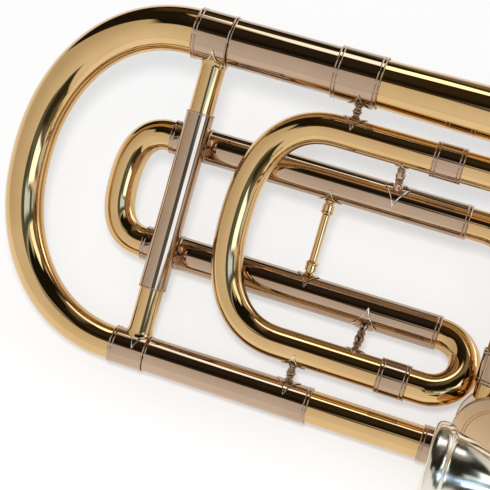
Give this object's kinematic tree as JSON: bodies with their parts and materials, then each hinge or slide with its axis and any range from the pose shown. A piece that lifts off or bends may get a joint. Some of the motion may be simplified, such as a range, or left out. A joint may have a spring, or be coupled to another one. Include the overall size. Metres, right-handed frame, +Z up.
{
  "type": "tenor trombone",
  "caption": "Slide trombone with a rotary valve attachment in a closed wrap, lying on its side with the mouthpiece up.",
  "frame": {"origin": "centre of the footprint's box on the surface that the instrument lies on", "axes": "+X along the tubes towards the slide's crook, +Z up from the surface, +Y from the hand slide towards the bell's side"},
  "size_m": [1.1422, 0.2974, 0.2192],
  "materials": {
    "lacquered_brass": "polished, clear lacquer",
    "nickel_silver": "polished nickel silver",
    "silver_plate": "polished silver plate",
    "steel": "satin",
    "black_rubber": "matte"
  },
  "bodies": {
    "bell_section": {"upper_receiver": "nickel_silver", "bell_ferrule": "nickel_silver", "lower_receiver": "nickel_silver", "lower_leg": "lacquered_brass", "lower_leg_ferrule": "nickel_silver", "bell": "lacquered_brass", "f_receiver_upper": "nickel_silver", "f_receiver_lower": "nickel_silver", "f_loop": "lacquered_brass", "loop_ferrule_upper": "nickel_silver", "loop_ferrule_lower": "nickel_silver", "f_crossover_bend": "lacquered_brass", "f_feed_tube": "lacquered_brass", "f_return_ferrule": "nickel_silver", "f_return_tube": "lacquered_brass", "bell_to_loop_brace": "nickel_silver", "loop_to_f_brace_upper": "lacquered_brass", "f_receiver_brace": "lacquered_brass", "loop_to_f_brace_lower": "lacquered_brass", "lower_leg_brace": "nickel_silver", "valve_casing": "lacquered_brass", "valve_cap": "lacquered_brass", "valve_back_plate": "lacquered_brass", "stop_bumper_rest": "black_rubber", "stop_bumper_pressed": "black_rubber", "lever_bracket": "lacquered_brass", "lever_spring": "steel", "gooseneck": "lacquered_brass", "neck_receiver": "nickel_silver", "bell_brace": "lacquered_brass", "neck_tenon": "nickel_silver", "mouthpiece_receiver": "nickel_silver", "inner_tube_neck_side": "nickel_silver", "inner_tube_mouthpiece_side": "nickel_silver", "cork_barrel_neck_side": "nickel_silver", "cork_barrel_mouthpiece_side": "nickel_silver", "inner_slide_brace": "nickel_silver"},
    "tuning_slide": {"tuning_bow": "lacquered_brass", "tuning_leg_upper": "nickel_silver", "tuning_leg_lower": "nickel_silver", "tuning_brace": "lacquered_brass", "tuning_brace_sleeve": "nickel_silver"},
    "f_slide": {"f_slide_bow": "lacquered_brass", "f_slide_leg_upper": "nickel_silver", "f_slide_leg_lower": "nickel_silver"},
    "valve_rotor": {"rotor": "nickel_silver", "stop_arm": "nickel_silver"},
    "trigger": {"thumb_lever": "lacquered_brass"},
    "linkage": {"link_rod": "steel"},
    "neck_nut": {"lock_nut": "nickel_silver"},
    "outer_slide": {"outer_tube_neck_side": "lacquered_brass", "outer_tube_mouthpiece_side": "lacquered_brass", "handle_brace": "nickel_silver", "slide_crook": "lacquered_brass", "slide_bumper": "black_rubber", "water_key_spring": "steel"},
    "lock_ring": {"slide_lock_ring": "nickel_silver"},
    "drain_key": {"water_key": "lacquered_brass"},
    "mouthpiece_body": {"mouthpiece": "silver_plate"}
  },
  "joints": [
    {"name": "main_tuning_slide", "type": "slide", "parent": "bell_section", "child": "tuning_slide", "axis": [-0.9999, 0, 0.0116], "range_m": [0, 0.045]},
    {"name": "f_tuning_slide", "type": "slide", "parent": "bell_section", "child": "f_slide", "axis": [-0.9999, 0, 0.0116], "range_m": [0, 0.045]},
    {"name": "thumb_lever_pivot", "type": "hinge", "parent": "bell_section", "child": "trigger", "pos_m": [-0.25493, -0.02762, 0.06093], "axis": [0.0091, -0.6187, 0.7855], "range_deg": [0, 21], "stiffness_Nm_per_rad": 0.4, "springref_deg": -17.19},
    {"name": "rotor_turn", "type": "hinge", "parent": "bell_section", "child": "valve_rotor", "pos_m": [-0.31173, -0.07121, 0.02726], "axis": [-0.0091, 0.6187, -0.7855], "range_deg": [0, 90]},
    {"name": "link_rod_pivot", "type": "hinge", "parent": "trigger", "child": "linkage", "pos_m": [-0.25527, -0.06454, 0.03185], "axis": [-0.0091, 0.6187, -0.7855], "range_deg": [0, 18.2]},
    {"name": "lock_nut_turn", "type": "hinge", "parent": "bell_section", "child": "neck_nut", "pos_m": [-0.24543, -0.08268, 0.01745], "axis": [0.9999, 0, -0.0116], "range_deg": [0, 720]},
    {"name": "hand_slide", "type": "slide", "parent": "bell_section", "child": "outer_slide", "axis": [0.9999, 0, -0.0116], "range_m": [0, 0.58]},
    {"name": "slide_lock_turn", "type": "hinge", "parent": "bell_section", "child": "lock_ring", "pos_m": [-0.20057, -0.12895, 0.09179], "axis": [0.9999, 0, -0.0116], "range_deg": [0, 30]},
    {"name": "water_key_hinge", "type": "hinge", "parent": "outer_slide", "child": "drain_key", "pos_m": [0.4856, -0.07145, 0.01593], "axis": [0.0099, -0.5258, 0.8505], "range_deg": [0, 14], "stiffness_Nm_per_rad": 0.1, "springref_deg": -17.19},
    {"name": "mouthpiece_pull", "type": "slide", "parent": "bell_section", "child": "mouthpiece_body", "axis": [-0.9999, 0, 0.0116], "range_m": [0, 0.026]}
  ],
  "couplings": [
    {"joint": "rotor_turn", "follows": "thumb_lever_pivot", "ratio": 4.285},
    {"joint": "link_rod_pivot", "follows": "thumb_lever_pivot", "ratio": 0.862}
  ]
}
